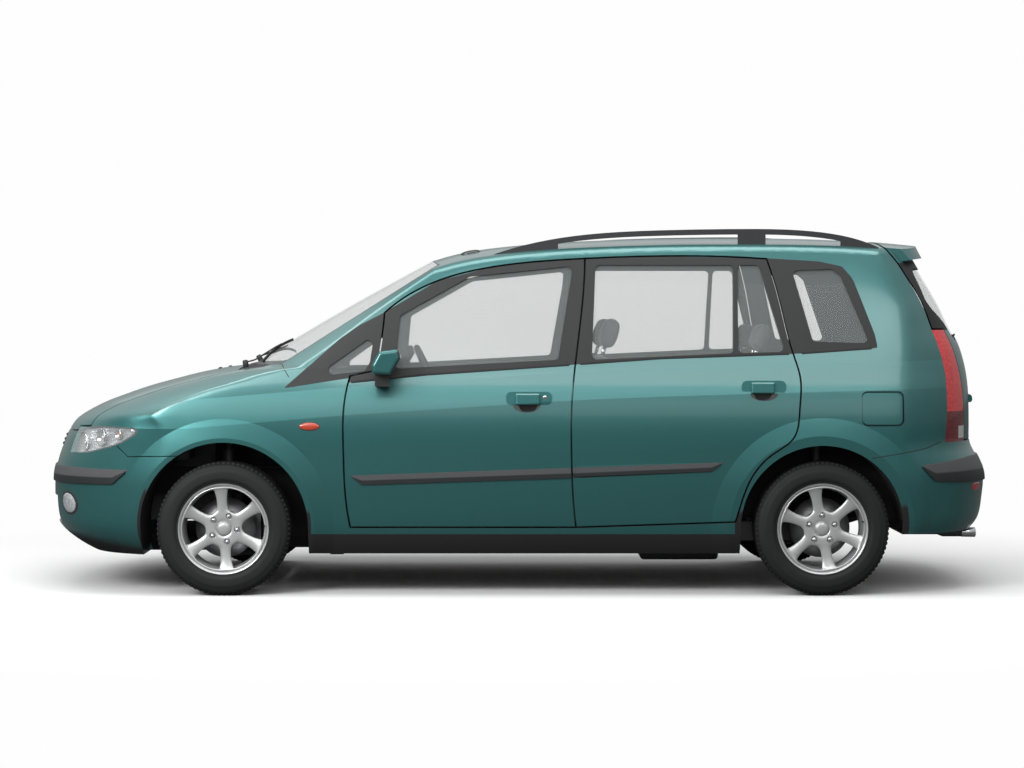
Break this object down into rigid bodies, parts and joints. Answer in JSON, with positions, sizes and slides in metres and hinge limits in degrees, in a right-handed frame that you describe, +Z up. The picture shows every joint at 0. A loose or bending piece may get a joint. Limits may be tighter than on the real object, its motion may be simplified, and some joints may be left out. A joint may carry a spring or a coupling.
{
  "type": "compact five-door minivan",
  "caption": "Compact five-door minivan with four hinged doors, lifting bonnet and tailgate, steered front wheels, roof rails and seats for five.",
  "frame": {"origin": "on the ground, below the middle of the body's length and width", "axes": "+X to the tail, +Y to the car's right-hand side, +Z up"},
  "size_m": [4.356, 1.97, 1.6441],
  "materials": {
    "paint": "metallic paint under clear coat",
    "dark_trim": "grained dark grey plastic",
    "cabin_plastic": "soft grained plastic",
    "glass": "lightly tinted",
    "lamp_clear": "clear polished",
    "lamp_red": "polished red",
    "alloy": "silver lacquer",
    "tyre": "matt rubber",
    "steel": "dull coated steel",
    "cast_iron": "as cast",
    "seat_cloth": "woven grey cloth"
  },
  "bodies": {
    "body": {"body_shell": "paint", "underbody": "dark_trim", "wings": "paint", "cowl_panel": "dark_trim", "front_bumper": "paint", "rear_bumper": "paint", "grille": "dark_trim", "head_lamps": "lamp_clear", "tail_lamps": "lamp_red", "fixed_glass": "glass", "roof_rails": "dark_trim", "engine": "cast_iron", "front_axle": "steel", "rear_axle": "steel", "fuel_tank": "steel", "exhaust": "steel", "dashboard": "cabin_plastic", "front_seats": "seat_cloth", "rear_seats": "seat_cloth"},
    "bonnet": {"bonnet": "paint"},
    "tailgate": {"tailgate": "paint", "tailgate_glass": "glass"},
    "fuel_flap": {"fuel_flap": "paint"},
    "steering": {"steering_wheel": "cabin_plastic"},
    "front_door_left": {"front_door_left": "paint", "front_door_glass_left": "glass", "mirror_left": "paint"},
    "rear_door_left": {"rear_door_left": "paint", "rear_door_glass_left": "glass"},
    "knuckle_left": {"front_knuckle_left": "steel"},
    "front_wheel_left": {"front_wheel_left": "alloy", "front_tyre_left": "tyre"},
    "rear_wheel_left": {"rear_wheel_left": "alloy", "rear_tyre_left": "tyre"},
    "front_door_right": {"front_door_right": "paint", "front_door_glass_right": "glass", "mirror_right": "paint"},
    "rear_door_right": {"rear_door_right": "paint", "rear_door_glass_right": "glass"},
    "knuckle_right": {"front_knuckle_right": "steel"},
    "front_wheel_right": {"front_wheel_right": "alloy", "front_tyre_right": "tyre"},
    "rear_wheel_right": {"rear_wheel_right": "alloy", "rear_tyre_right": "tyre"}
  },
  "joints": [
    {"name": "steer_left", "type": "hinge", "parent": "body", "child": "knuckle_left", "pos_m": [-1.32, -0.652, 0.186], "axis": [0, 0.1564, 0.9877], "range_deg": [-35, 35]},
    {"name": "front_wheel_left", "type": "hinge", "parent": "knuckle_left", "child": "front_wheel_left", "pos_m": [-1.32, -0.735, 0.298], "axis": [0, 1, 0], "continuous": true},
    {"name": "rear_wheel_left", "type": "hinge", "parent": "body", "child": "rear_wheel_left", "pos_m": [1.35, -0.735, 0.298], "axis": [0, 1, 0], "continuous": true},
    {"name": "front_door_left", "type": "hinge", "parent": "body", "child": "front_door_left", "pos_m": [-0.782, -0.8485, 0.7], "axis": [0, 0, -1], "range_deg": [0, 65]},
    {"name": "rear_door_left", "type": "hinge", "parent": "body", "child": "rear_door_left", "pos_m": [0.233, -0.8498, 0.7], "axis": [0, 0, -1], "range_deg": [0, 70]},
    {"name": "steer_right", "type": "hinge", "parent": "body", "child": "knuckle_right", "pos_m": [-1.32, 0.652, 0.186], "axis": [0, -0.1564, 0.9877], "range_deg": [-35, 35]},
    {"name": "front_wheel_right", "type": "hinge", "parent": "knuckle_right", "child": "front_wheel_right", "pos_m": [-1.32, 0.735, 0.298], "axis": [0, 1, 0], "continuous": true},
    {"name": "rear_wheel_right", "type": "hinge", "parent": "body", "child": "rear_wheel_right", "pos_m": [1.35, 0.735, 0.298], "axis": [0, 1, 0], "continuous": true},
    {"name": "front_door_right", "type": "hinge", "parent": "body", "child": "front_door_right", "pos_m": [-0.782, 0.8485, 0.7], "axis": [0, 0, 1], "range_deg": [0, 65]},
    {"name": "rear_door_right", "type": "hinge", "parent": "body", "child": "rear_door_right", "pos_m": [0.233, 0.8498, 0.7], "axis": [0, 0, 1], "range_deg": [0, 70]},
    {"name": "steering", "type": "hinge", "parent": "body", "child": "steering", "pos_m": [-0.396, -0.37, 0.937], "axis": [0.9063, 0, 0.4226], "range_deg": [-525, 525]},
    {"name": "bonnet", "type": "hinge", "parent": "body", "child": "bonnet", "pos_m": [-1.262, 0, 1.026], "axis": [0, 1, 0], "range_deg": [0, 55]},
    {"name": "tailgate", "type": "hinge", "parent": "body", "child": "tailgate", "pos_m": [1.655, 0, 1.599], "axis": [0, -1, 0], "range_deg": [0, 80]},
    {"name": "fuel_flap", "type": "hinge", "parent": "body", "child": "fuel_flap", "pos_m": [1.5228, -0.8468, 0.834], "axis": [0, 0, -1], "range_deg": [0, 90]}
  ],
  "couplings": [
    {"joint": "steer_right", "follows": "steer_left", "ratio": 1},
    {"joint": "steering", "follows": "steer_left", "ratio": 15}
  ]
}
